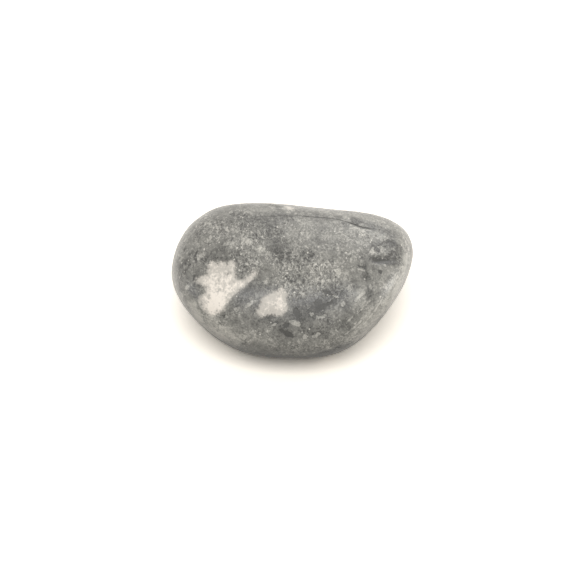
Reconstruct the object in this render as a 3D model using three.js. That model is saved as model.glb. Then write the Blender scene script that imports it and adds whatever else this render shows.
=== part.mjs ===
// A tumbled bluestone pebble: spotted dolerite, worn smooth in a tumbling barrel. Millimetres, +Z up.
//
// The stone formed as one piece, so it is one closed solid. Its shape is an ellipsoid worn flat in places:
// each worn face is a plane at some distance from the stone's middle, and the ellipsoid and all the planes
// are blended into one smooth skin. Shallow hollows are pressed into that skin, and its underside ends in the
// small flat patch that the stone lies on. The origin is under the middle of the stone, on that patch's plane.
//
// The skin is worked out in shares of the stone's length, so LENGTH alone sets the size of the finished stone.

import * as THREE from "three";
import { mergeVertices } from "three/addons/utils/BufferGeometryUtils.js";

// Driving sizes
const LENGTH = 30.0; // along X
const CORE = new THREE.Vector3(0.58, 0.5, 0.34); // the ellipsoid's half sizes
const BLEND = 8; // how tightly faces meet: a higher number gives crisper corners
const REST_CUT = 0.01; // how far up the underside the resting patch is worn
const DETAIL = 16; // each of the icosahedron's edges is divided into DETAIL + 1
const SAME_POINT = 1e-5; // points of the icosahedron closer than this are one point

// Worn faces. azimuth is measured from +X towards +Y, elevation from level towards +Z, both in degrees, and
// distance is from the stone's middle.
const FACES = [
  { name: "long back slope", azimuth: 80, elevation: 57, distance: 0.304 },
  { name: "back left shoulder", azimuth: 141, elevation: 44, distance: 0.506 },
  { name: "left end", azimuth: 168, elevation: 20, distance: 0.517 },
  { name: "left cheek", azimuth: -170, elevation: -12, distance: 0.493 },
  { name: "right shoulder", azimuth: 26, elevation: 34, distance: 0.555 },
  { name: "right nose", azimuth: 8, elevation: 16, distance: 0.526 },
  { name: "right flank", azimuth: -17, elevation: -25, distance: 0.368 },
  { name: "lower right flank", azimuth: -36, elevation: -40, distance: 0.338 },
  { name: "lower front", azimuth: -91, elevation: -54, distance: 0.297 },
  { name: "lower left flank", azimuth: -142, elevation: -40, distance: 0.358 },
  { name: "front", azimuth: -92, elevation: 26, distance: 0.38 },
  { name: "crown", azimuth: -100, elevation: 78, distance: 0.28 },
  { name: "back", azimuth: 95, elevation: -8, distance: 0.42 },
  { name: "lower back", azimuth: 88, elevation: -48, distance: 0.327 },
  { name: "underside", azimuth: 90, elevation: -88.5, distance: 0.253 },
];

// Shallow hollows, centred where a direction from the middle leaves the skin.
const HOLLOWS = [
  { name: "saddle behind the crest", azimuth: 70, elevation: 60, depth: 0.008, radius: 0.15 },
  { name: "dimple by the nose", azimuth: -24, elevation: 18, depth: 0.006, radius: 0.09 },
];

function direction({ azimuth, elevation }) {
  const polar = THREE.MathUtils.degToRad(90 - elevation);
  const turn = THREE.MathUtils.degToRad(azimuth);
  return new THREE.Vector3(
    Math.sin(polar) * Math.cos(turn),
    Math.sin(polar) * Math.sin(turn),
    Math.cos(polar),
  );
}

const faces = FACES.map((face) => ({ normal: direction(face), distance: face.distance }));

// How far the worn skin is from the middle along a unit vector: the ellipsoid and the planes, blended.
function skinRadius(along) {
  const core = along.clone().divide(CORE).length();
  const planes = faces.map(({ normal, distance }) => Math.max(0, along.dot(normal)) / distance);
  const sum = [core, ...planes].reduce((total, gauge) => total + gauge ** BLEND, 0);
  return sum ** (-1 / BLEND);
}

const hollows = HOLLOWS.map(({ depth, radius, ...place }) => {
  const along = direction(place);
  return { centre: along.clone().multiplyScalar(skinRadius(along)), depth, radius };
});

// The skin's point along a unit vector, sunk by the hollows around it.
function skinPoint(along) {
  const point = along.clone().multiplyScalar(skinRadius(along));
  const sunk = hollows.reduce((total, { centre, depth, radius }) => {
    const away = point.distanceTo(centre) / radius;
    return total + depth * Math.exp(-away * away);
  }, 0);
  return point.addScaledVector(along, -sunk);
}

// The icosahedron's points, each moved out to the skin. Shared points are merged so that the surface is closed.
function stoneGeometry() {
  const geometry = new THREE.IcosahedronGeometry(1, DETAIL);
  geometry.deleteAttribute("normal");
  geometry.deleteAttribute("uv");
  const skin = mergeVertices(geometry, SAME_POINT);
  const places = skin.getAttribute("position");
  const along = new THREE.Vector3();
  for (let i = 0; i < places.count; i += 1) {
    along.fromBufferAttribute(places, i).normalize();
    places.setXYZ(i, ...skinPoint(along));
  }
  return skin;
}

// Sets the stone down on its resting patch, by wearing its lowest part back to one plane, at its full size.
function setDown(geometry) {
  geometry.computeBoundingBox();
  const { min, max } = geometry.boundingBox;
  geometry.translate(-(min.x + max.x) / 2, -(min.y + max.y) / 2, -min.z - REST_CUT);
  const places = geometry.getAttribute("position");
  for (let i = 0; i < places.count; i += 1) {
    places.setZ(i, Math.max(places.getZ(i), 0));
  }
  const size = LENGTH / (max.x - min.x);
  geometry.scale(size, size, size);
  geometry.computeVertexNormals();
  return geometry;
}

const dolerite = new THREE.MeshStandardMaterial({
  name: "spotted_dolerite",
  color: new THREE.Color(0.42, 0.42, 0.4),
  roughness: 0.45,
  metalness: 0,
});

const stone = new THREE.Mesh(setDown(stoneGeometry()), dolerite);
stone.name = "stone";

const bluestone = new THREE.Group();
bluestone.name = "bluestone";
bluestone.add(stone);

export default bluestone;
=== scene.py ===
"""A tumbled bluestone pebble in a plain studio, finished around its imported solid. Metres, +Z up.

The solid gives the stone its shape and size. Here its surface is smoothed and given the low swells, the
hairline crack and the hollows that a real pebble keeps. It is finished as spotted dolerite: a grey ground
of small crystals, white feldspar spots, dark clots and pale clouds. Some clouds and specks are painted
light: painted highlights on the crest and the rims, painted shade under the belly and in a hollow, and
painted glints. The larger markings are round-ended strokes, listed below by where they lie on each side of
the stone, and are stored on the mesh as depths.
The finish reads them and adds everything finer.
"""

import math
from typing import NamedTuple

import bmesh
import bpy
import numpy as np
from bpy.props import FloatProperty, FloatVectorProperty, IntProperty, PointerProperty
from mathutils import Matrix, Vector, noise
from mathutils.bvhtree import BVHTree


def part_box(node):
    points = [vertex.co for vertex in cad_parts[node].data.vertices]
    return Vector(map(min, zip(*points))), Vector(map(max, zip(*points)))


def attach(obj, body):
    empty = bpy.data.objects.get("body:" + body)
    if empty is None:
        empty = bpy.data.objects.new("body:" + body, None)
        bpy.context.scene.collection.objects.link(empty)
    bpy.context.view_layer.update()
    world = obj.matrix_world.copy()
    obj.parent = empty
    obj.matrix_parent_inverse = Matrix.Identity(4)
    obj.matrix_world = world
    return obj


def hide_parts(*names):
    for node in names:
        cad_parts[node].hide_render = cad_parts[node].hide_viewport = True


bl_info = {
    "name": "Bluestone Pebble",
    "version": (1, 0, 0),
    "blender": (4, 5, 0),
    "location": "3D View > Sidebar > Bluestone",
    "description": "Makes a tumbled pebble of spotted dolerite, and a plain studio to see it in",
    "category": "Add Mesh",
}

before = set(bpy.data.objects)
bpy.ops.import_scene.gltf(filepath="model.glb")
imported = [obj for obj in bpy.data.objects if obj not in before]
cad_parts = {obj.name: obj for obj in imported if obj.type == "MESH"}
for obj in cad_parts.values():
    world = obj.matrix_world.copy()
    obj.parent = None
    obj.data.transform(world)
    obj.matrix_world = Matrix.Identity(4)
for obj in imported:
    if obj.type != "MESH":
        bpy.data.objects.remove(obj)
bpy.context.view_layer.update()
LOW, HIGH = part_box("stone")
MIDDLE = (LOW + HIGH) / 2
LENGTH = HIGH.x - LOW.x
STEP = LENGTH / 100  # markings are placed and sized in hundredths of the stone's length
MM = 0.001
EYE_DISTANCE = LENGTH * 6.5  # how far from the stone's middle someone looks at a side of it
CHART_DISTANCE = LENGTH / 3  # how far in front of the middle the steps on a side are measured
LOOKED_AT = Vector((-0.03, 0, 0.25)) * LENGTH  # the point that the camera is aimed at
SAME_POINT = 1e-7  # corners of the solid closer than this are one corner
SAME_PLANE = 1e-5  # the floor's two sheets are this far apart
PAPER_ROUGHNESS = 0.9
FINE_MARGIN = 0.6  # the surface is divided finely this many steps round the small markings


# Where the markings are


class Side(NamedTuple):
    """A view of the stone on which markings are placed, by the direction that it faces, in degrees."""

    azimuth: float  # from +X towards +Y
    elevation: float

    def axes(self):
        """Unit vectors across the side, up it, and out of it towards whoever looks at it."""
        turn, rise = math.radians(self.azimuth), math.radians(self.elevation)
        out = Vector((math.cos(rise) * math.cos(turn), math.cos(rise) * math.sin(turn), math.sin(rise)))
        across = Vector((0, 0, 1)).cross(out).normalized()
        return across, out.cross(across), out


FACE = Side(-90, 32)
BACK = Side(90, 35)
LEFT = Side(180, 5)
RIGHT = Side(0, 5)
BELOW = Side(-90, -75)


class Mark(NamedTuple):
    """A marking on a side: round-ended strokes through dabs, each (across, rise, half width) in steps."""

    side: Side
    dabs: tuple


class Cloud(NamedTuple):
    """A soft patch with no edge of its own, in which something grows by an amount, or lessens below 0."""

    side: Side
    amount: float
    dabs: tuple


# White feldspar spots: the large lobed one, the one beside it, then the rest.
FELDSPARS = (
    Mark(FACE, ((-27.6, 1, 4.6), (-28.6, -4.4, 5.8), (-30, -9.9, 4), (-31.4, -12, 2.4))),
    Mark(FACE, ((-31.4, 5.4, 1.7), (-29.4, 0.3, 3.8))),
    Mark(FACE, ((-23.9, 5.8, 1.5), (-25.6, 0.3, 3.6))),
    Mark(FACE, ((-27.8, 5.3, 1.8), (-27, 2, 3))),
    Mark(FACE, ((-37.2, -0.8, 1), (-32.4, -0.9, 3.2))),
    Mark(FACE, ((-35.4, -8, 1.6), (-31.6, -8.4, 3.8))),
    Mark(FACE, ((-33.4, -11, 2.2), (-30, -10, 3.4))),
    Mark(
        FACE,
        ((-14.6, 2.5, 0.7), (-16.2, 0.6, 1.1), (-18.4, -1.2, 1.2), (-21.4, -2.4, 2.1), (-25, -4.6, 3.1)),
    ),
    Mark(FACE, ((-12.2, -13, 2), (-9.2, -10.5, 3.6), (-6, -8.6, 3.6), (-5.6, -11, 3.6))),
    Mark(FACE, ((-4.2, -6, 2), (-5.7, -8.6, 3))),
    Mark(FACE, ((-2, 28.2, 1.3), (-0.8, 27.4, 1.2))),
    Mark(BACK, ((14, 4, 2.2), (19, 1, 3.2), (17, -4, 2))),
    Mark(BACK, ((-24, -6, 2.6), (-21, -10, 1.8))),
    Mark(BACK, ((-8, -25, 2.8), (-4, -23, 1.8))),
    Mark(LEFT, ((14, -4, 2.4), (17, -7, 1.4))),
    Mark(RIGHT, ((20, -2, 2.6), (17, -6, 2))),
    Mark(BELOW, ((12, 14, 3), (17, 12, 2), (15, 8, 1.6))),
    Mark(BELOW, ((-14, -2, 2.2), (-11, 1, 1.5))),
)

# Ground that bites into the large feldspar spot.
FELDSPAR_BITES = (
    Mark(FACE, ((-20.6, 3.4, 2), (-18.4, 2.4, 1.5))),
    Mark(FACE, ((-34, 3.4, 1.5),)),
    Mark(FACE, ((-25.4, 1.8, 0.6),)),
    Mark(FACE, ((-29.8, -2.4, 0.25), (-28.6, -4.6, 0.3))),
    Mark(FACE, ((-36.9, -3.9, 1.9),)),
)

# Single pale crystals, and the pale lip of the crack.
CRYSTALS = (
    Mark(FACE, ((22.4, 19.4, 0.35), (24.2, 20, 0.5), (26.9, 19.3, 0.4), (30.9, 18.7, 0.3))),
    Mark(FACE, ((-36.7, 8, 0.9), (-34.7, 9.8, 1.1))),
    Mark(FACE, ((-41.2, -3.4, 1.1),)),
    Mark(FACE, ((-42.3, 7.9, 0.5),)),
    Mark(FACE, ((-32.8, 21.6, 0.5), (-31.6, 20.8, 0.6))),
    Mark(FACE, ((-27.2, 20.6, 0.5), (-25.2, 18.4, 0.6))),
    Mark(FACE, ((-30.3, 22.2, 0.4), (-29.1, 18.4, 0.4))),
    Mark(FACE, ((-18.8, 15.2, 1.3), (-16.6, 14.6, 1.5), (-16.8, 13.4, 1.1))),
    Mark(FACE, ((-26.4, 13.4, 0.9), (-23.6, 13.8, 1.1))),
    Mark(FACE, ((-13.4, 18.6, 0.7), (-12.8, 16.4, 0.6))),
    Mark(FACE, ((-10.5, 21.5, 0.5),)),
    Mark(FACE, ((-8.5, 19.7, 0.32),)),
    Mark(FACE, ((3.2, 22.5, 0.36),)),
    Mark(FACE, ((13.2, 13.3, 0.5),)),
    Mark(FACE, ((17.3, 13.6, 0.6),)),
    Mark(FACE, ((-7.1, 9.8, 0.5),)),
    Mark(FACE, ((-22.2, -12.2, 0.8), (-21.2, -11.6, 0.8))),
    Mark(FACE, ((-18.2, -10.9, 0.6), (-16.2, -9.4, 0.7))),
    Mark(FACE, ((-8.6, -18.6, 0.3), (-6.8, -17.8, 0.4))),
    Mark(FACE, ((-26, -15, 0.8),)),
    Mark(FACE, ((18.4, 18.2, 0.4), (16.3, 17.6, 0.3))),
    Mark(FACE, ((31.6, 12.3, 0.4), (31, 10.5, 0.7), (32.6, 10.4, 0.7))),
    Mark(FACE, ((34, 12.3, 0.7), (36.2, 12, 0.6), (35, 10.9, 0.8))),
    Mark(FACE, ((39.3, 11.6, 0.9), (40, 11.3, 0.7))),
    # These three small pale crystals at the upper edge of the long hollow are partly painted glints of
    # light there.
    Mark(FACE, ((33.7, 8.4, 0.42),)),
    Mark(FACE, ((35.2, 8.3, 0.36),)),
    Mark(FACE, ((36.6, 8.2, 0.38),)),
    Mark(FACE, ((36.2, 5.2, 0.7),)),
    Mark(FACE, ((25.6, 3.8, 0.3), (28.1, 3.1, 0.3))),
    Mark(FACE, ((13.4, 6.6, 0.8),)),
    Mark(FACE, ((20.7, 10.1, 0.6),)),
    Mark(FACE, ((19.6, 4.6, 0.6), (17, 3.2, 0.5))),
    Mark(FACE, ((7.3, -13.9, 0.8),)),
    Mark(FACE, ((-0.6, -16.8, 0.8), (2.1, -17.8, 1))),
    Mark(FACE, ((9.6, -15.3, 0.6), (11.5, -15.1, 0.5))),
    Mark(FACE, ((4.8, -22.8, 0.9),)),
    Mark(FACE, ((8.5, -22.6, 0.9), (10.2, -21.7, 0.7))),
    Mark(FACE, ((-1.4, -25.2, 0.8),)),
    Mark(FACE, ((15.9, -7, 0.35), (17.7, -7.2, 0.35))),
    Mark(FACE, ((19.8, -10, 1),)),
    Mark(FACE, ((3.9, -4, 0.5),)),
    Mark(FACE, ((20.9, -17.6, 0.3), (23.4, -15, 0.4))),
    Mark(FACE, ((20.5, -22, 0.2), (24.4, -19, 0.4), (26.9, -16.6, 0.4))),
    Mark(FACE, ((25.4, -13.6, 0.2), (30.2, -8.6, 0.4))),
    Mark(FACE, ((27.9, -18, 0.3), (32.8, -11.6, 0.4), (35.5, -7, 0.2))),
    Mark(FACE, ((24.4, -8.6, 0.4), (27.9, -5.6, 0.6))),
)

# Clots of dark mineral.
DARKS = (
    Mark(FACE, ((10.1, -9.7, 1.6), (10.5, -11.4, 1.5))),
    Mark(FACE, ((11.8, -10.6, 0.6), (15.4, -9.6, 0.5), (16.7, -7.8, 0.6))),
    Mark(FACE, ((12.8, -4.9, 0.8), (15.1, -6, 0.5))),
    Mark(FACE, ((1.4, -13, 1.3), (2, -14.4, 1.2))),
    Mark(FACE, ((-2.8, -18.3, 1.1),)),
    Mark(FACE, ((-4.6, -20.4, 0.6), (-2.3, -21.2, 1.1), (-0, -22.8, 0.5))),
    # This clot lies in the long hollow: partly dark mineral, partly painted shade in the hollow.
    Mark(FACE, ((32.6, 7.3, 1.3), (36.4, 7, 1.5))),
    Mark(FACE, ((36.6, 14.2, 0.5), (38.2, 15, 0.5), (39.7, 13.8, 0.5))),
    Mark(FACE, ((25.7, 5, 0.4), (28.4, 4.2, 0.4))),
    Mark(FACE, ((34.3, 2.6, 0.8),)),
    Mark(FACE, ((-37.5, 10.8, 0.4), (-38.6, 8.8, 0.5), (-37.7, 6.6, 0.5))),
    Mark(BACK, ((-12, 6, 1.2), (-8, 7, 0.7))),
    Mark(BACK, ((24, -10, 1.4), (20, -12, 0.8))),
)

# Lighter and darker clouds in the ground and in the feldspar, partly the rock's own tone and partly painted
# light. The pale clouds along the crest and down the right and lower left rims are painted highlights and
# reflections, partly paler rock there. The dark band along the bottom and the dark clouds in the long
# hollow at the right end are painted shade.
TONE_AND_PAINTED_LIGHT = (
    Cloud(FACE, 0.12, ((14.7, 17, 2), (22.5, 19.4, 1.4), (29.3, 17, 1.4), (26.4, 14, 1.4))),
    Cloud(FACE, 0.12, ((4, 23, 1.6), (7.9, 20, 1.4))),
    # Painted highlight along the crest.
    Cloud(FACE, 0.16, ((34.1, 22.4, 1.6), (22.5, 25, 1.6), (8.9, 27, 1.6))),
    Cloud(FACE, 0.1, ((33.1, 16, 1.6), (35.1, 17, 1.2))),
    Cloud(FACE, 0.08, ((9.9, 3, 3), (17.6, 3, 2))),
    # Painted reflections and highlights down the right rim, partly paler rock there.
    Cloud(FACE, 0.14, ((41.9, 20, 1.6), (43.4, 9, 2), (42.4, 0, 2), (40.4, -6, 2.4))),
    Cloud(FACE, 0.14, ((44, 8, 1), (42.8, 1, 1.2), (39.9, -6, 1.4))),
    Cloud(FACE, 0.2, ((40, -2, 1.6), (37.6, -8, 2))),
    Cloud(FACE, 0.2, ((37.4, -11.5, 1.8), (33.2, -16.6, 2.2), (28.2, -22, 2.2))),
    Cloud(FACE, 0.26, ((34.4, -11.5, 2), (30.6, -16, 2.6), (26, -22, 2.6))),
    Cloud(FACE, 0.14, ((21.5, 1, 1.6), (26.4, -3.4, 1.2), (23.4, -8, 1.4))),
    Cloud(FACE, -0.1, ((12.8, 1, 2), (10.8, 6, 2))),
    # Painted reflections along the lower left rim, partly paler rock there.
    Cloud(FACE, 0.44, ((-39, -11, 1.8), (-37.5, -14, 2))),
    Cloud(FACE, 0.5, ((-35.4, -17.4, 2.4), (-30.9, -21.4, 3))),
    Cloud(FACE, 0.34, ((-30.9, -16.6, 2), (-28, -21, 2.4), (-24.1, -24, 2))),
    Cloud(FACE, 0.14, ((-11.9, 11.5, 1.4),)),
    Cloud(FACE, -0.16, ((-14.2, 15.6, 1.6),)),
    Cloud(FACE, 0.12, ((-24.8, 9.2, 1.4),)),
    Cloud(FACE, 0.12, ((-35.4, 12.4, 1.4),)),
    Cloud(FACE, 0.1, ((-18.3, 15, 1.6),)),
    Cloud(FACE, 0.14, ((-41.5, -4, 1.2), (-36.7, 9, 1.4))),
    Cloud(FACE, 0.14, ((-24.1, -20, 2), (-7.6, -23.6, 1.6), (-10.9, -20, 1.4))),
    Cloud(FACE, 0.1, ((17.4, -13.3, 1.2),)),
    # Painted highlight along the crest.
    Cloud(FACE, 0.14, ((-20.2, 26.8, 1.4), (-10.5, 27.4, 1.4))),
    Cloud(FACE, 0.3, ((-1.2, 27.4, 1.6),)),
    Cloud(FACE, 0.2, ((-28.9, -9, 1.6), (-29.9, -5, 1.4))),
    Cloud(FACE, -0.14, ((-28, 5, 2.4),)),
    Cloud(FACE, -0.2, ((-9.4, -9.6, 3), (-6.6, -8.4, 2.4))),
    Cloud(FACE, 0.16, ((-5.4, -9.4, 1), (-6, -11, 1))),
    Cloud(FACE, 0.14, ((-11.6, -12.2, 1),)),
    Cloud(FACE, -0.34, ((2.1, -13.5, 2), (8.9, -10.8, 1.8), (15.7, -6.5, 1.8))),
    Cloud(FACE, -0.14, ((20.5, -7.5, 2), (16.7, -15, 4), (7, -18, 3))),
    Cloud(FACE, -0.34, ((-20, -7, 1.2), (-17, -5, 1.2))),
    Cloud(FACE, -0.16, ((-22, -10, 1.6), (-14, -3, 1.6))),
    Cloud(FACE, 0.16, ((-22.8, -14.6, 1.6),)),
    Cloud(FACE, -0.2, ((-28.4, -14.6, 1.2),)),
    Cloud(FACE, -0.16, ((-20.2, -15, 3), (-15.4, -15, 3), (-4.7, -17.6, 2.4))),
    Cloud(FACE, -0.26, ((-8, 19.4, 1.8), (-5.8, 15.6, 2.2), (-6.4, 12.4, 1.8), (-3.7, 9, 1.4))),
    Cloud(FACE, -0.16, ((-0.3, 22.3, 1),)),
    Cloud(FACE, 0.2, ((4.4, 18.6, 1), (6.4, 16.6, 1))),
    Cloud(FACE, -0.3, ((24.4, 23.4, 1.1), (25.8, 22.4, 0.9))),
    Cloud(FACE, 0.2, ((21.8, 23.6, 1),)),
    Cloud(FACE, -0.2, ((-21.2, 23, 2), (-12.4, 22, 2.4), (-4.7, 24, 1.6))),
    Cloud(FACE, -0.2, ((5.4, 9.6, 1.4),)),
    Cloud(FACE, -0.16, ((-33.8, 8, 1.6), (-28, 10.4, 2), (-20.2, 6, 2), (-19.2, 2, 1.6))),
    Cloud(FACE, -0.26, ((-42.5, 5, 2.4), (-39.6, 1, 1.8), (-37.7, -5, 2))),
    Cloud(FACE, -0.2, ((-45.4, 6, 1.6), (-44.4, -3, 1.6))),
    Cloud(FACE, -0.14, ((6, 9.6, 1.6), (4, 5, 1.6))),
    # Painted shade in the long hollow at the right end.
    Cloud(FACE, -0.2, ((32.2, 7.4, 1.2), (36, 7.4, 1.4))),
    Cloud(FACE, -0.4, ((38.6, 7.6, 1.2), (41, 8.6, 1.4), (41, 12, 1.6), (38.6, 14, 1.2))),
    Cloud(FACE, -0.18, ((25.4, 21.8, 1), (32.2, 20, 1.4), (38, 17.6, 1.2))),
    Cloud(FACE, -0.1, ((27, 14, 2.4), (34, 13, 2))),
    Cloud(FACE, -0.22, ((28.9, 0.7, 1),)),
    Cloud(FACE, -0.22, ((28.2, 5.6, 1),)),
    Cloud(FACE, -0.26, ((25, -2, 1),)),
    Cloud(FACE, -0.26, ((30.2, -5.8, 1.1),)),
    # Painted shade: a dark band along the bottom, where the belly turns under towards the floor.
    Cloud(FACE, -0.26, ((-18.3, -28, 1.4), (-6.6, -30.4, 1.8), (7, -30.6, 2), (18.6, -27.2, 1.8))),
    Cloud(FACE, -0.12, ((0.4, -6.4, 1.4), (0.7, -9, 1.4))),
    Cloud(FACE, -0.14, ((4.4, -7.4, 1.4), (8, -5.6, 1.2))),
    Cloud(FACE, -0.16, ((19.8, -7, 1.2),)),
    Cloud(FACE, -0.12, ((20.8, 2.6, 1.2),)),
    Cloud(FACE, -0.18, ((29.2, 8.6, 1.2),)),
    Cloud(FACE, -0.2, ((41.6, 5, 1.4),)),
    Cloud(FACE, -0.12, ((29.6, 16.6, 1.2), (31.4, 14, 1.2))),
    Cloud(FACE, 0.1, ((24.6, 4.6, 1), (27.2, 4.2, 1))),
    Cloud(FACE, -0.12, ((-42.4, -4, 1.4),)),
)

# Where the ground is coarser, and where it is smoother.
COARSENESS = (
    Cloud(FACE, 0.5, ((-0.8, 6, 6), (8.9, -2, 7))),
    Cloud(FACE, 0.3, ((-31.8, 20, 3), (-26, 18, 4), (-12.4, 18, 5))),
    Cloud(FACE, 0.5, ((-20.2, 6, 4),)),
    Cloud(FACE, -0.6, ((-18.3, -10, 5), (-14.4, -20, 7))),
    Cloud(FACE, 0.4, ((3.4, -6.6, 3), (16, -4, 3))),
    Cloud(FACE, -0.8, ((28.3, 2, 6), (34.1, -8, 6), (26.4, -18, 5))),
    Cloud(FACE, -0.6, ((-28, 10, 3),)),
    Cloud(FACE, -0.7, ((8.9, -10.6, 3), (-0.8, -14, 2.5))),
    Cloud(FACE, -0.4, ((8.9, -18, 4), (20.5, -14, 5))),
)

# The hairline crack below the crest, and the two lengths of it that gape.
CRACK = Mark(
    FACE,
    (
        (-16.2, 24.1, 0.15),
        (-11.9, 24.5, 0.3),
        (-6.8, 24.4, 0.5),
        (-2.1, 25, 0.45),
        (2.2, 24.9, 0.5),
        (5.8, 24.3, 0.9),
        (12.8, 23.9, 1),
        (16, 23.6, 0.4),
        (21.4, 22.3, 0.7),
        (23.4, 21.7, 1.1),
        (25.8, 20.7, 1.3),
        (28.1, 20, 1.1),
        (30.5, 19.6, 0.5),
        (32.8, 19.4, 0.1),
    ),
)

# Shallow hollows in the skin.
HOLLOWS = (
    Mark(FACE, ((33, 7, 1.1), (41, 7.8, 1.5))),
    Mark(FACE, ((-38, 10, 0.5), (-38, 7.4, 0.6))),
    Mark(BACK, ((6, 14, 1.6), (9, 12, 1))),
)


class Skin:
    """The smoothed surface as it stands before any relief, for finding places on it."""

    def __init__(self, mesh):
        corners = [vertex.co for vertex in mesh.vertices]
        self.tree = BVHTree.FromPolygons(corners, [face.vertices for face in mesh.polygons])

    def place(self, side, across, rise):
        """The point on the surface that someone looking at the side sees at a place on it."""
        right, up, out = side.axes()
        eye = MIDDLE + out * EYE_DISTANCE
        seen = MIDDLE + out * CHART_DISTANCE + right * across * STEP + up * rise * STEP
        hit = self.tree.ray_cast(eye, seen - eye)[0]
        if hit is None:
            raise ValueError(f"the place {across}, {rise} on {side} misses the stone")
        return np.array(hit)

    def strokes(self, mark):
        """The ends and end half widths of each stroke of a mark. A single dab is a stroke of no length."""
        dabs = [(self.place(mark.side, across, rise), width * STEP) for across, rise, width in mark.dabs]
        return zip(dabs, dabs[1:] or dabs)


def stroke_depth(points, start, end):
    """How deep each point is inside a stroke: its half width there, less the distance from its line."""
    (start_point, start_width), (end_point, end_width) = start, end
    along = end_point - start_point
    share = np.clip((points - start_point) @ along / max(along @ along, SAME_POINT**2), 0, 1)
    away = np.linalg.norm(points - start_point - share[:, None] * along, axis=1)
    return start_width + (end_width - start_width) * share - away


def depth_in(points, skin, marks):
    """How deep each point is inside the nearest of some marks, in metres, and below 0 outside them all."""
    depths = [stroke_depth(points, *ends) for mark in marks for ends in skin.strokes(mark)]
    return np.max(depths, axis=0)


def cloud_sum(points, skin, clouds):
    """The sum of some clouds at each point. Each fades outside its dabs over their own mean half width."""
    total = np.zeros(len(points))
    for cloud in clouds:
        fade = np.mean([width for _, _, width in cloud.dabs]) * STEP
        outside = np.maximum(0, -depth_in(points, skin, [cloud]) / fade)
        total += cloud.amount * np.exp(-(outside**2))
    return total


def crack_line(points, normals, skin):
    """For each point, how far it is from the crack's line, above 0 on one side and below 0 on the other, in
    metres, and how wide the crack gapes at the nearest place on its line, in steps."""
    nearest = np.full(len(points), LENGTH)
    gape = np.zeros(len(points))
    for (start, start_width), (end, end_width) in skin.strokes(CRACK):
        along = end - start
        share = np.clip((points - start) @ along / (along @ along), 0, 1)
        offset = points - start - share[:, None] * along
        away = np.linalg.norm(offset, axis=1)
        sides = np.sign(np.einsum("ij,ij->i", offset, np.cross(normals, along)))
        closer = away < np.abs(nearest)
        nearest[closer] = (away * sides)[closer]
        gape[closer] = ((start_width + (end_width - start_width) * share) / STEP)[closer]
    return nearest, gape


# The stone's surface


def smooth_solid(levels):
    """A new object holding the solid's surface, its shared corners joined and its facets smoothed away."""
    surface = bmesh.new()
    surface.from_mesh(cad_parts["stone"].data)
    bmesh.ops.remove_doubles(surface, verts=surface.verts, dist=SAME_POINT)
    coarse = bpy.data.meshes.new("pebble_coarse")
    surface.to_mesh(coarse)
    surface.free()
    pebble = bpy.data.objects.new("pebble", coarse)
    bpy.context.scene.collection.objects.link(pebble)
    pebble.modifiers.new("smoothing", "SUBSURF").levels = levels
    smoothed = pebble.evaluated_get(bpy.context.evaluated_depsgraph_get())
    pebble.data = bpy.data.meshes.new_from_object(smoothed)
    pebble.data.name = "pebble"
    pebble.modifiers.clear()
    pebble.data.shade_smooth()
    return pebble


def refine(mesh, marks):
    """Divides the mesh's edges in and beside some marks, so that the smallest ones keep their shape."""
    near = depth_in(read_vectors(mesh.vertices, "co"), Skin(mesh), marks) > -FINE_MARGIN * STEP
    surface = bmesh.new()
    surface.from_mesh(mesh)
    edges = [edge for edge in surface.edges if all(near[corner.index] for corner in edge.verts)]
    bmesh.ops.subdivide_edges(surface, edges=edges, cuts=1, use_grid_fill=True)
    surface.to_mesh(mesh)
    surface.free()


def lumps(points, size, octaves):
    """Fractal noise at each point, about -1 to 1, whose largest lumps are one size across."""
    return np.array([noise.fractal(Vector(point) / size, 1.0, 2.0, octaves) for point in points])


def read_vectors(items, name):
    """One vector property of every item of a mesh collection, as rows."""
    values = np.empty(len(items) * 3, np.float32)
    items.foreach_get(name, values)
    return values.reshape(-1, 3).astype(float)


def store(mesh, name, values):
    """Keeps one number for every vertex, for the finish to read."""
    attribute = mesh.attributes.new(name, "FLOAT", "POINT")
    attribute.data.foreach_set("value", values.astype(np.float32))


def mark_and_wear(pebble, shape):
    """Stores the markings on the mesh, and moves its vertices by the relief that goes with them."""
    mesh = pebble.data
    refine(mesh, CRYSTALS + DARKS + (CRACK,))
    points = read_vectors(mesh.vertices, "co")
    normals = read_vectors(mesh.vertex_normals, "vector")
    skin = Skin(mesh)

    feldspar = np.minimum(depth_in(points, skin, FELDSPARS), -depth_in(points, skin, FELDSPAR_BITES))
    crack, gape = crack_line(points, normals, skin)
    hollow = depth_in(points, skin, HOLLOWS)
    store(mesh, "feldspar", feldspar / MM)
    store(mesh, "crystal", depth_in(points, skin, CRYSTALS) / MM)
    store(mesh, "dark", depth_in(points, skin, DARKS) / MM)
    store(mesh, "shade", cloud_sum(points, skin, TONE_AND_PAINTED_LIGHT))
    store(mesh, "coarseness", cloud_sum(points, skin, COARSENESS))
    store(mesh, "crack", crack / MM)
    store(mesh, "gape", gape)

    height = shape.swell_height * lumps(points, shape.swell_size, 2)
    height += shape.ripple_height * lumps(points, shape.ripple_size, 3)
    height -= shape.hollow_depth / (1 + np.exp(-hollow / shape.hollow_edge))
    height -= shape.crack_depth * gape * np.exp(-((crack / shape.crack_width) ** 2))
    points += normals * height[:, None]
    points[:, 2] = np.maximum(points[:, 2], LOW.z)
    mesh.vertices.foreach_set("co", points.astype(np.float32).ravel())
    mesh.update()


# The finish


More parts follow.
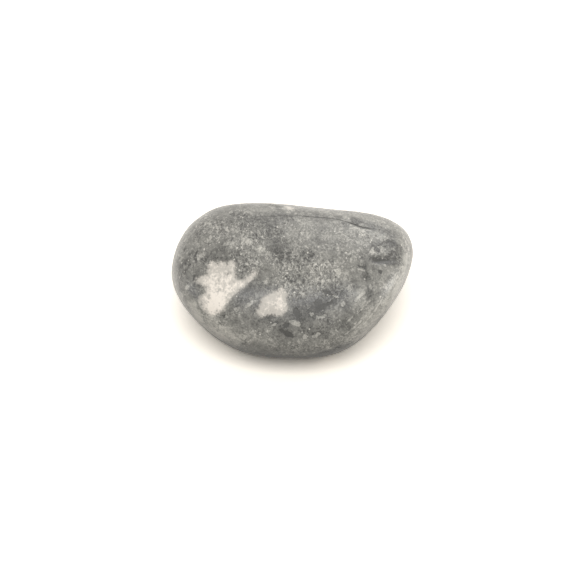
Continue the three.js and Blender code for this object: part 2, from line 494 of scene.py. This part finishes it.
class Signal:
    """A value at every point of a surface: an output socket of a material's nodes. Arithmetic on signals
    adds the nodes that work it out, for numbers and for vectors alike."""

    def __init__(self, finish, socket):
        self.finish = finish
        self.socket = socket

    def beside(self, name):
        """Another output of the node that this signal comes from."""
        return Signal(self.finish, self.socket.node.outputs[name])

    def combined(self, operation, first, second):
        kinds = {side.socket.type for side in (first, second) if isinstance(side, Signal)}
        node = "ShaderNodeVectorMath" if kinds & {"VECTOR", "RGBA"} else "ShaderNodeMath"
        return self.finish.node(node, {"operation": operation}, {0: first, 1: second})

    def __add__(self, other):
        return self.combined("ADD", self, other)

    __radd__ = __add__

    def __mul__(self, other):
        return self.combined("MULTIPLY", self, other)

    def __sub__(self, other):
        return self.combined("SUBTRACT", self, other)

    def __rsub__(self, other):
        return self.combined("SUBTRACT", other, self)

    def __abs__(self):
        return self.finish.node("ShaderNodeMath", {"operation": "ABSOLUTE"}, {0: self})

    def at_least(self, other):
        return self.combined("MAXIMUM", self, other)

    def rise(self, low, high):
        """0 up to one value of this signal and 1 from another, with a smooth step between. High may be the
        lower of the two, and the step then goes down."""
        settings = {"interpolation_type": "SMOOTHSTEP"}
        values = {"Value": self, "From Min": low, "From Max": high}
        return self.finish.node("ShaderNodeMapRange", settings, values, "Result")


class Finish:
    """A material, and the one method that adds a node to it."""

    def __init__(self, name):
        self.material = bpy.data.materials.new(name)
        self.material.use_nodes = True
        self.tree = self.material.node_tree
        self.shader = self.tree.nodes["Principled BSDF"]

    def node(self, kind, settings=None, values=None, output=0):
        """Adds a node: its settings first, then a number, colour or signal for each socket named."""
        made = self.tree.nodes.new(kind)
        for name, setting in (settings or {}).items():
            if name == "stops":
                self.set_stops(made.color_ramp, setting)
            else:
                setattr(made, name, setting)
        for name, value in (values or {}).items():
            socket = made.inputs[name]
            if isinstance(value, Signal):
                self.tree.links.new(value.socket, socket)
            elif socket.type == "VECTOR" and isinstance(value, (int, float)):
                socket.default_value = (value, value, value)
            else:
                socket.default_value = value
        return Signal(self, made.outputs[output])

    @staticmethod
    def set_stops(ramp, stops):
        """Gives a colour ramp its stops, each a position and a colour."""
        while len(ramp.elements) < len(stops):
            ramp.elements.new(1.0)
        for element, (position, colour) in zip(ramp.elements, stops):
            element.position = position
            element.color = (*colour, 1)

    def mix(self, share, first, second):
        """One colour where share is 0 and another where it is 1."""
        settings = {"data_type": "RGBA"}
        values = {"Factor": share, COLOUR_A: solid(first), COLOUR_B: solid(second)}
        return self.node("ShaderNodeMix", settings, values, COLOUR_MIXED)

    def attribute(self, name):
        """A number stored on the mesh."""
        return self.node("ShaderNodeAttribute", {"attribute_name": name}, output="Fac")

    def noise(self, place, size, detail=2.0, roughness=0.5):
        """Noise from 0 to 1 whose largest lumps are one size across."""
        values = {"Vector": place, "Scale": 1 / size, "Detail": detail, "Roughness": roughness}
        return self.node("ShaderNodeTexNoise", None, values, "Fac")

    def cells(self, place, size, feature="F1", output="Color"):
        """The nearest of scattered points, one size apart: its own colour, or how far it or its edge is."""
        values = {"Vector": place, "Scale": 1 / size}
        return self.node("ShaderNodeTexVoronoi", {"feature": feature}, values, output)

    def channel(self, colour, name):
        """One channel of a colour, as a number."""
        return self.node("ShaderNodeSeparateColor", None, {"Color": colour}, name)

    def set(self, name, value):
        """Sets or links a socket of the surface's own shader."""
        socket = self.shader.inputs[name]
        if isinstance(value, Signal):
            self.tree.links.new(value.socket, socket)
        else:
            socket.default_value = value


# A Mix node has these sockets under the same names for every type of data: these are the colour ones.
COLOUR_A, COLOUR_B, COLOUR_MIXED = 6, 7, 2


def solid(colour):
    """A plain colour with full alpha added. A signal passes unchanged."""
    return colour if isinstance(colour, Signal) else (*colour, 1)


def laths(finish, place, size, turn):
    """How much a place lies inside a lath, 0 to 1: sparse box-shaped crystals, all turned the same way."""
    values = {"Vector": place, "Rotation": turn}
    turned = finish.node("ShaderNodeMapping", {"vector_type": "TEXTURE"}, values)
    turned = turned * (1 / size, 3 / size, 3 / size)
    settings = {"distance": "CHEBYCHEV"}
    cell = finish.node("ShaderNodeTexVoronoi", settings, {"Vector": turned, "Scale": 1.0}, "Distance")
    chance = finish.channel(cell.beside("Color"), "Red")
    half = chance.rise(0.6, 1.0) * 0.42
    return (half - cell).rise(0.0, 0.06) * chance.rise(0.6, 0.62)


def ground(finish, place, shade, coarse, rock):
    """The grey ground of interlocking crystals, with painted glints among them: how light it is, 0 to 1,
    and how far it stands up.
    """
    grain = rock.grain_size / MM
    wander = finish.noise(place, grain * 2, 2).beside("Color") - 0.5
    bent = place + wander * (grain * 1.2)

    # Fine and middling grains, each of a tone of its own.
    fine = finish.channel(finish.cells(bent, grain * 0.62), "Red") - 0.5
    middling = finish.channel(finish.cells(bent, grain * 1.2), "Red") - 0.5
    powder = finish.noise(place, grain * 0.4, 2, 0.7) - 0.5
    grains = fine * 0.4 + powder * 0.66 + middling * (0.18 + coarse * 0.12)

    # Ragged blotches, which crowd together where the clouds, painted light among them, make the ground
    # lighter or darker.
    cloud = finish.noise(place, grain * 14, 3, 0.55) - 0.5
    mottle = finish.noise(bent, grain * 3.6, 4, 0.65) + shade * 0.6 + cloud * 0.3
    pale_blotch = mottle.rise(0.55, 0.63)
    dark_blotch = mottle.rise(0.45, 0.37)
    tone = 0.43 + pale_blotch * 0.12 - dark_blotch * 0.14 + shade * 0.6 + cloud * 0.12

    # Larger crystals. The pale ones have dark seams around them.
    large = finish.cells(bent, grain * 2.2)
    seam = finish.cells(bent, grain * 2.2, "DISTANCE_TO_EDGE", "Distance")
    kind = finish.channel(large, "Green")
    inside = seam.rise(0.05, 0.13)
    grains = grains + kind.rise(0.9, 0.92) * (inside * 0.34 - 0.14) - kind.rise(0.12, 0.1) * inside * 0.14

    # Where the ground is coarse: curling pale rims of grains, and pits between them, which stand up and
    # sink in the fine relief. The pale rims are partly painted highlight on the raised rims; the pits are
    # darker in colour.
    curl_and_highlight = abs(finish.noise(place, grain * 1.5, 1) - 0.5).rise(0.09, 0.02)
    pit = finish.noise(place + 9.4, grain * 1.5, 3).rise(0.56, 0.66)
    grains = grains + coarse * (curl_and_highlight * 0.25 - pit * 0.2 - 0.03)

    pale = laths(finish, bent, grain * 3.2, (0.4, 0.2, 0.5))
    pale = pale.at_least(laths(finish, bent + 7.3, grain * 2.6, (-0.6, 1.1, -0.3)))
    pale = pale.at_least(laths(finish, bent + 3.1, grain * 3.6, (1.2, -0.5, 1.4)))
    grains = grains + pale * 0.14

    # In calm places the grains are too fine and even to be told apart.
    evenness = finish.noise(place + 5.2, grain * 6, 3, 0.6)
    calm = (evenness - finish.attribute("coarseness") * 0.12).rise(0.46, 0.6)
    tone = tone + grains * (1 - calm * 0.4)

    # Painted glints, mostly where the ground is coarse: tiny spots made nearly white in the colour, a
    # painted highlight where light glints off crystal faces.
    painted_glint = finish.cells(bent, grain * 1.1, output="Distance")
    lucky = (finish.channel(painted_glint.beside("Color"), "Blue") + coarse * 0.05).rise(0.98, 0.99)
    tone = tone + painted_glint.rise(0.4, 0.28) * lucky * 0.7

    height = powder * 0.5 + middling * 0.3 + coarse * (curl_and_highlight * 0.6 - pit * 0.9) - dark_blotch * 0.15
    height = height * (1 - calm * 0.5)
    return tone, height


def dolerite(rock):
    """The finish of the whole stone."""
    finish = Finish("spotted_dolerite")
    stretch = (1 / MM, 1 / MM / rock.fabric, 1 / MM)
    place = finish.node("ShaderNodeTexCoord", output="Object") * stretch
    grain = rock.grain_size / MM

    zone = finish.noise(place, grain * 16, 2, 0.5).rise(0.35, 0.65)
    coarse = (zone * 0.6 + finish.attribute("coarseness") * 0.5).rise(-0.1, 0.9)
    # The clouds: the rock's own tone, with painted highlights, reflections and shade among them.
    shade = finish.attribute("shade") * rock.shade_strength
    tone, height = ground(finish, place, shade, coarse, rock)

    # Edges follow the crystals that they cut through: each crystal moves the edge by its own amount.
    steps = finish.channel(finish.cells(place, grain * 0.7), "Blue") - 0.5
    ragged = finish.noise(place, grain * 2.2, 4, 0.65) - 0.5
    wobble = steps * (grain * 0.8) + ragged * (grain * 2.6)

    depth = finish.attribute("feldspar") + wobble
    feldspar = depth.rise(-0.26, 0.26)
    nibble = finish.noise(place, grain * 1.1, 3, 0.6) - 0.5
    inside = finish.attribute("crystal") + wobble * 0.25 + nibble * (grain * 1.1)
    crystal = inside.rise(-0.06, 0.06)
    seam = inside.rise(-0.22, -0.08) - crystal
    crystal = crystal * (0.8 + nibble + steps * 0.5)
    clot = finish.attribute("dark") + wobble * 0.5 + nibble * (grain * 0.8)
    dark = clot.rise(-0.1, 0.06) * (1 - crystal)
    gape = finish.attribute("gape")
    crack = (gape * 0.13 + 0.02 - abs(finish.attribute("crack") + ragged * (grain * 0.5))).rise(0.0, 0.07)
    crack = crack * gape.rise(0.0, 0.3)

    tone = tone * (1 - crystal * 0.5 - dark * 0.9) + crystal * 0.52 - seam * 0.1
    colour = finish.node(
        "ShaderNodeValToRGB",
        {"stops": ((0.0, rock.dark_colour), (0.5, rock.ground_colour), (1.0, rock.pale_colour))},
        {"Fac": tone},
        "Color",
    )
    chalk = finish.noise(place, grain * 2.4, 4, 0.65) + depth.rise(0.0, 1.0) * 0.16 + steps * 0.2
    chalk = chalk + shade * 0.8
    specks = finish.channel(finish.cells(place, grain * 0.6), "Green")
    white = finish.mix(chalk.rise(0.36, 0.8), rock.feldspar_shadow, rock.feldspar_colour)
    white = finish.mix(specks.rise(0.88, 0.98) * 0.34, white, rock.ground_colour)
    colour = finish.mix(feldspar, colour, white)
    colour = finish.mix(crack * 0.85, colour, rock.dark_colour)
    finish.set("Base Color", colour)

    powder = finish.noise(place, grain * 0.6, 3, 0.6)
    roughness = rock.roughness + (powder - 0.5) * 0.3 + dark * 0.08 + feldspar * 0.16 + crack * 0.2
    finish.set("Roughness", roughness)

    height = height * (1 - feldspar * 0.4) + feldspar * 0.2 - crack * 2.5 - dark * 0.4
    bump = finish.node(
        "ShaderNodeBump",
        None,
        {"Height": height, "Distance": rock.relief, "Strength": 1.0},
        "Normal",
    )
    finish.set("Normal", bump)
    finish.set("IOR", rock.gloss_index)
    finish.set("Sheen Weight", rock.bloom)
    finish.set("Sheen Roughness", rock.bloom_spread)
    return finish.material


# The studio


def aim(thing, target):
    """Turns a lamp or a camera to look at a point."""
    thing.rotation_euler = (target - thing.location).to_track_quat("-Z", "Y").to_euler()


def add_object(name, data):
    thing = bpy.data.objects.new(name, data)
    bpy.context.scene.collection.objects.link(thing)
    return thing


def add_paper(name, size, height, colour, kept):
    """White paper round the stone, which is no part of it: the faces of a room that pass a test. The room
    stands on a height, and each face that runs from the front of the room to the back is in two halves."""
    surface = bmesh.new()
    bmesh.ops.create_cube(surface, size=size)
    whole = surface.verts[:] + surface.edges[:] + surface.faces[:]
    bmesh.ops.bisect_plane(surface, geom=whole, plane_co=(0, 0, 0), plane_no=(0, 1, 0))
    bmesh.ops.translate(surface, verts=surface.verts, vec=(0, 0, size / 2 + height))
    dropped = [face for face in surface.faces if not kept(face)]
    bmesh.ops.delete(surface, geom=dropped, context="FACES")
    mesh = bpy.data.meshes.new(name)
    surface.to_mesh(mesh)
    surface.free()
    paper = Finish(name)
    paper.set("Base Color", (*colour, 1))
    paper.set("Roughness", PAPER_ROUGHNESS)
    paper.set("Specular IOR Level", 0.0)
    mesh.materials.append(paper.material)
    sheet = add_object(name, mesh)
    sheet.visible_diffuse = False
    sheet.visible_shadow = False
    return sheet


def is_floor(face):
    return face.normal.z < -0.5


def is_front_floor(face):
    return is_floor(face) and face.calc_center_median().y < 0


def is_elsewhere(face):
    return not is_front_floor(face)


def add_room(studio):
    """A paper room in two layers. The one that is seen is exposed to white, and a sheet just under its
    floor lights the stone from below. The stone mirrors the white paper behind it but not that in front of
    it, so its rims are bright and its belly is dark."""
    seen_colour = Vector(studio.paper_colour) * studio.paper_exposure
    add_paper("paper_room", studio.room_size, LOW.z, seen_colour, is_elsewhere)
    front = add_paper("paper_front", studio.room_size, LOW.z, seen_colour, is_front_floor)
    front.visible_glossy = False
    sheet_colour = Vector(studio.paper_colour) * studio.paper_bounce
    sheet = add_paper("paper_sheet", studio.room_size, LOW.z - SAME_PLANE, sheet_colour, is_floor)
    sheet.visible_camera = False
    sheet.visible_diffuse = True
    sheet.visible_shadow = True


def in_front(elevation, distance):
    """An offset towards the viewer's side of the stone, so far above level and so far away."""
    return Vector((0, -math.cos(elevation), math.sin(elevation))) * distance


def add_softbox(name, place, size, power):
    """Adds a round lamp that looks at the stone."""
    lamp = bpy.data.lights.new(name, "AREA")
    lamp.shape = "DISK"
    lamp.size = size
    lamp.energy = power
    softbox = add_object(name, lamp)
    softbox.location = place
    aim(softbox, MIDDLE)
    return softbox


def add_lamps(studio):
    """A key light that lights everything, and weaker ones that fill in the stone alone, so that they cast
    no shadow of it on the paper."""
    key = MIDDLE + in_front(studio.key_elevation, studio.key_distance)
    add_softbox("key_light", key, studio.key_size, studio.key_power)
    stone_only = bpy.data.collections.new("stone_only")
    stone_only.objects.link(bpy.data.objects["pebble"])
    across, forward, height = studio.fill_distance, -studio.side_forward, studio.side_height
    fills = (
        ("left_light", Vector((-across, forward, height)), studio.left_power),
        ("right_light", Vector((across, forward, height)), studio.right_power),
        ("back_light", Vector((across / 3, across * 0.8, across * 0.8)), studio.back_power),
    )
    for name, place, power in fills:
        fill = add_softbox(name, place, studio.fill_size, power)
        fill.light_linking.receiver_collection = stone_only


def add_camera(studio):
    camera = bpy.data.cameras.new("camera")
    camera.lens = studio.lens
    viewer = add_object("camera", camera)
    distance = studio.frame_width * LENGTH * studio.lens / camera.sensor_width
    viewer.location = LOOKED_AT + in_front(studio.camera_elevation, distance)
    aim(viewer, LOOKED_AT)
    camera.clip_start = distance / 100
    camera.clip_end = studio.room_size * 2
    bpy.context.scene.camera = viewer


def light_room(studio):
    scene = bpy.context.scene
    world = bpy.data.worlds.new("studio")
    world.use_nodes = True
    background = world.node_tree.nodes["Background"]
    background.inputs["Color"].default_value = (1, 1, 1, 1)
    background.inputs["Strength"].default_value = studio.room_light
    scene.world = world
    scene.view_settings.view_transform = "Standard"


# The add-on


class PebbleShape(bpy.types.PropertyGroup):
    """The relief that is worn into the smoothed solid."""

    smoothing: IntProperty(
        name="Smoothing",
        description="How many times the solid's surface is subdivided",
        default=2,
        min=1,
        max=2,
    )
    swell_height: FloatProperty(
        name="Swell height",
        description="How far the broad swells of the skin rise and fall",
        default=0.00010,
        precision=5,
        unit="LENGTH",
    )
    swell_size: FloatProperty(
        name="Swell size",
        description="How far apart the broad swells are",
        default=0.0065,
        precision=4,
        unit="LENGTH",
    )
    ripple_height: FloatProperty(
        name="Ripple height",
        description="How far the small unevenness of the skin rises and falls",
        default=0.00002,
        precision=5,
        unit="LENGTH",
    )
    ripple_size: FloatProperty(
        name="Ripple size",
        description="How far apart the small unevenness is",
        default=0.0015,
        precision=4,
        unit="LENGTH",
    )
    hollow_depth: FloatProperty(
        name="Hollow depth",
        description="How deep the shallow hollows are",
        default=0.00020,
        precision=5,
        unit="LENGTH",
    )
    hollow_edge: FloatProperty(
        name="Hollow edge",
        description="How far a hollow's side takes to run out",
        default=0.00012,
        precision=5,
        unit="LENGTH",
    )
    crack_depth: FloatProperty(
        name="Crack depth",
        description="How deep the worn lips of the crack dip where it gapes most",
        default=0.00006,
        precision=5,
        unit="LENGTH",
    )
    crack_width: FloatProperty(
        name="Crack width",
        description="How far the worn lips of the crack reach to each side",
        default=0.00022,
        precision=5,
        unit="LENGTH",
    )


class PebbleRock(bpy.types.PropertyGroup):
    """The colours and the grain of the rock."""

    grain_size: FloatProperty(
        name="Grain size",
        description="How large a crystal of the grey ground is",
        default=0.00026,
        precision=5,
        unit="LENGTH",
    )
    fabric: FloatProperty(
        name="Fabric",
        description="How much longer the crystals are from the front of the stone to its back",
        default=1.6,
    )
    ground_colour: FloatVectorProperty(
        name="Ground",
        description="The grey that most of the ground has",
        default=(0.197, 0.192, 0.172),
        subtype="COLOR",
    )
    dark_colour: FloatVectorProperty(
        name="Dark mineral",
        description="The darkest crystals and clots",
        default=(0.047, 0.046, 0.042),
        subtype="COLOR",
    )
    pale_colour: FloatVectorProperty(
        name="Pale crystals",
        description="The lightest crystals of the ground",
        default=(0.48, 0.458, 0.407),
        subtype="COLOR",
    )
    feldspar_colour: FloatVectorProperty(
        name="Feldspar",
        description="The white of the feldspar spots",
        default=(0.7, 0.643, 0.57),
        subtype="COLOR",
    )
    feldspar_shadow: FloatVectorProperty(
        name="Feldspar, cloudy",
        description="The greyer veins inside the feldspar spots",
        default=(0.42, 0.393, 0.349),
        subtype="COLOR",
    )
    shade_strength: FloatProperty(
        name="Clouds",
        description="How strongly the soft light and dark clouds show",
        default=1.0,
        subtype="FACTOR",
    )
    roughness: FloatProperty(
        name="Roughness",
        description="How dull the tumbled skin is",
        default=0.38,
        subtype="FACTOR",
    )
    gloss_index: FloatProperty(
        name="Refractive index",
        description="The refractive index of the skin, which sets how strongly it reflects",
        default=1.5,
    )
    bloom: FloatProperty(
        name="Bloom",
        description="How strongly the worn, slightly dusty skin glows where it is seen edge on",
        default=0.18,
        subtype="FACTOR",
    )
    bloom_spread: FloatProperty(
        name="Bloom spread",
        description="How far in from the edges the bloom reaches",
        default=0.5,
        subtype="FACTOR",
    )
    relief: FloatProperty(
        name="Fine relief",
        description="The height of the finest relief, between crystals",
        default=0.00004,
        precision=6,
        unit="LENGTH",
    )


class PebbleStudio(bpy.types.PropertyGroup):
    """The camera, the light and the floor."""

    camera_elevation: FloatProperty(
        name="Camera elevation",
        description="How far above level the camera looks from",
        default=math.radians(32),
        subtype="ANGLE",
    )
    lens: FloatProperty(
        name="Lens",
        description="The camera's focal length, in millimetres",
        default=100,
        subtype="DISTANCE_CAMERA",
    )
    frame_width: FloatProperty(
        name="Frame width",
        description="How much the frame takes in at the stone, in lengths of the stone",
        default=2.357,
    )
    room_light: FloatProperty(
        name="Room light",
        description="How bright the white room around the stone is",
        default=0.5,
    )
    key_power: FloatProperty(
        name="Key light",
        description="The power of the softbox that stands in front of the stone and above it",
        default=1.8,
        unit="POWER",
    )
    key_size: FloatProperty(
        name="Key light size",
        description="How wide the softbox is",
        default=0.25,
        unit="LENGTH",
    )
    key_distance: FloatProperty(
        name="Key light distance",
        description="How far the softbox is from the stone",
        default=0.53,
        unit="LENGTH",
    )
    key_elevation: FloatProperty(
        name="Key light elevation",
        description="How far above level the softbox stands",
        default=math.radians(44),
        subtype="ANGLE",
    )
    left_power: FloatProperty(
        name="Left light",
        description="The power of the softbox that stands low to the left of the stone",
        default=0.9,
        unit="POWER",
    )
    right_power: FloatProperty(
        name="Right light",
        description="The power of the softbox that stands low to the right of the stone",
        default=1.5,
        unit="POWER",
    )
    back_power: FloatProperty(
        name="Back light",
        description="The power of the softbox that stands behind the stone and above it",
        default=0.75,
        unit="POWER",
    )
    fill_size: FloatProperty(
        name="Fill light size",
        description="How wide the left, right and back softboxes are",
        default=0.3,
        unit="LENGTH",
    )
    fill_distance: FloatProperty(
        name="Fill light distance",
        description="How far to the side the left and right softboxes are",
        default=0.45,
        unit="LENGTH",
    )
    side_forward: FloatProperty(
        name="Side light forward",
        description="How far the side softboxes are on the viewer's side of the stone",
        default=0.08,
        unit="LENGTH",
    )
    side_height: FloatProperty(
        name="Side light height",
        description="How high above the floor the side softboxes are",
        default=0.07,
        unit="LENGTH",
    )
    room_size: FloatProperty(
        name="Room size",
        description="How wide and high the paper room is",
        default=4.0,
        unit="LENGTH",
    )
    paper_colour: FloatVectorProperty(
        name="Paper colour",
        description="The colour of the paper that the stone lies on",
        default=(0.88, 0.835, 0.765),
        subtype="COLOR",
    )
    paper_exposure: FloatProperty(
        name="Paper exposure",
        description="How much brighter than its own colour the paper looks",
        default=1.9,
    )
    paper_bounce: FloatProperty(
        name="Paper bounce",
        description="How much of its own colour the paper gives back to the stone",
        default=0.45,
    )


class PEBBLE_OT_stone(bpy.types.Operator):
    """Make the pebble: smooth the solid's surface, wear it, mark it and finish it as dolerite"""

    bl_idname = "pebble.stone"
    bl_label = "Make Pebble"

    def execute(self, context):
        pebble = smooth_solid(context.scene.pebble_shape.smoothing)
        mark_and_wear(pebble, context.scene.pebble_shape)
        pebble.data.materials.clear()
        pebble.data.materials.append(dolerite(context.scene.pebble_rock))
        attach(pebble, "root")
        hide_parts("stone")
        return {"FINISHED"}


class PEBBLE_OT_studio(bpy.types.Operator):
    """Make the studio: a pale floor, soft light from above and all round, and the camera"""

    bl_idname = "pebble.studio"
    bl_label = "Make Studio"

    def execute(self, context):
        studio = context.scene.pebble_studio
        add_room(studio)
        add_lamps(studio)
        add_camera(studio)
        light_room(studio)
        return {"FINISHED"}


class PEBBLE_PT_sidebar(bpy.types.Panel):
    """The pebble's sizes, colours and operators"""

    bl_idname = "PEBBLE_PT_sidebar"
    bl_label = "Bluestone Pebble"
    bl_space_type = "VIEW_3D"
    bl_region_type = "UI"
    bl_category = "Bluestone"

    def draw(self, context):
        parts = (
            (PEBBLE_OT_stone, (context.scene.pebble_shape, context.scene.pebble_rock)),
            (PEBBLE_OT_studio, (context.scene.pebble_studio,)),
        )
        for operator, groups in parts:
            box = self.layout.box()
            for group in groups:
                for name in group.bl_rna.properties.keys():
                    if name not in {"rna_type", "name"}:
                        box.prop(group, name)
            box.operator(operator.bl_idname)


CLASSES = (PebbleShape, PebbleRock, PebbleStudio, PEBBLE_OT_stone, PEBBLE_OT_studio, PEBBLE_PT_sidebar)


def register():
    for made in CLASSES:
        bpy.utils.register_class(made)
    bpy.types.Scene.pebble_shape = PointerProperty(type=PebbleShape)
    bpy.types.Scene.pebble_rock = PointerProperty(type=PebbleRock)
    bpy.types.Scene.pebble_studio = PointerProperty(type=PebbleStudio)


def unregister():
    del bpy.types.Scene.pebble_studio
    del bpy.types.Scene.pebble_rock
    del bpy.types.Scene.pebble_shape
    for made in reversed(CLASSES):
        bpy.utils.unregister_class(made)


def main():
    register()
    bpy.ops.pebble.stone()
    bpy.ops.pebble.studio()


if __name__ == "__main__":
    main()
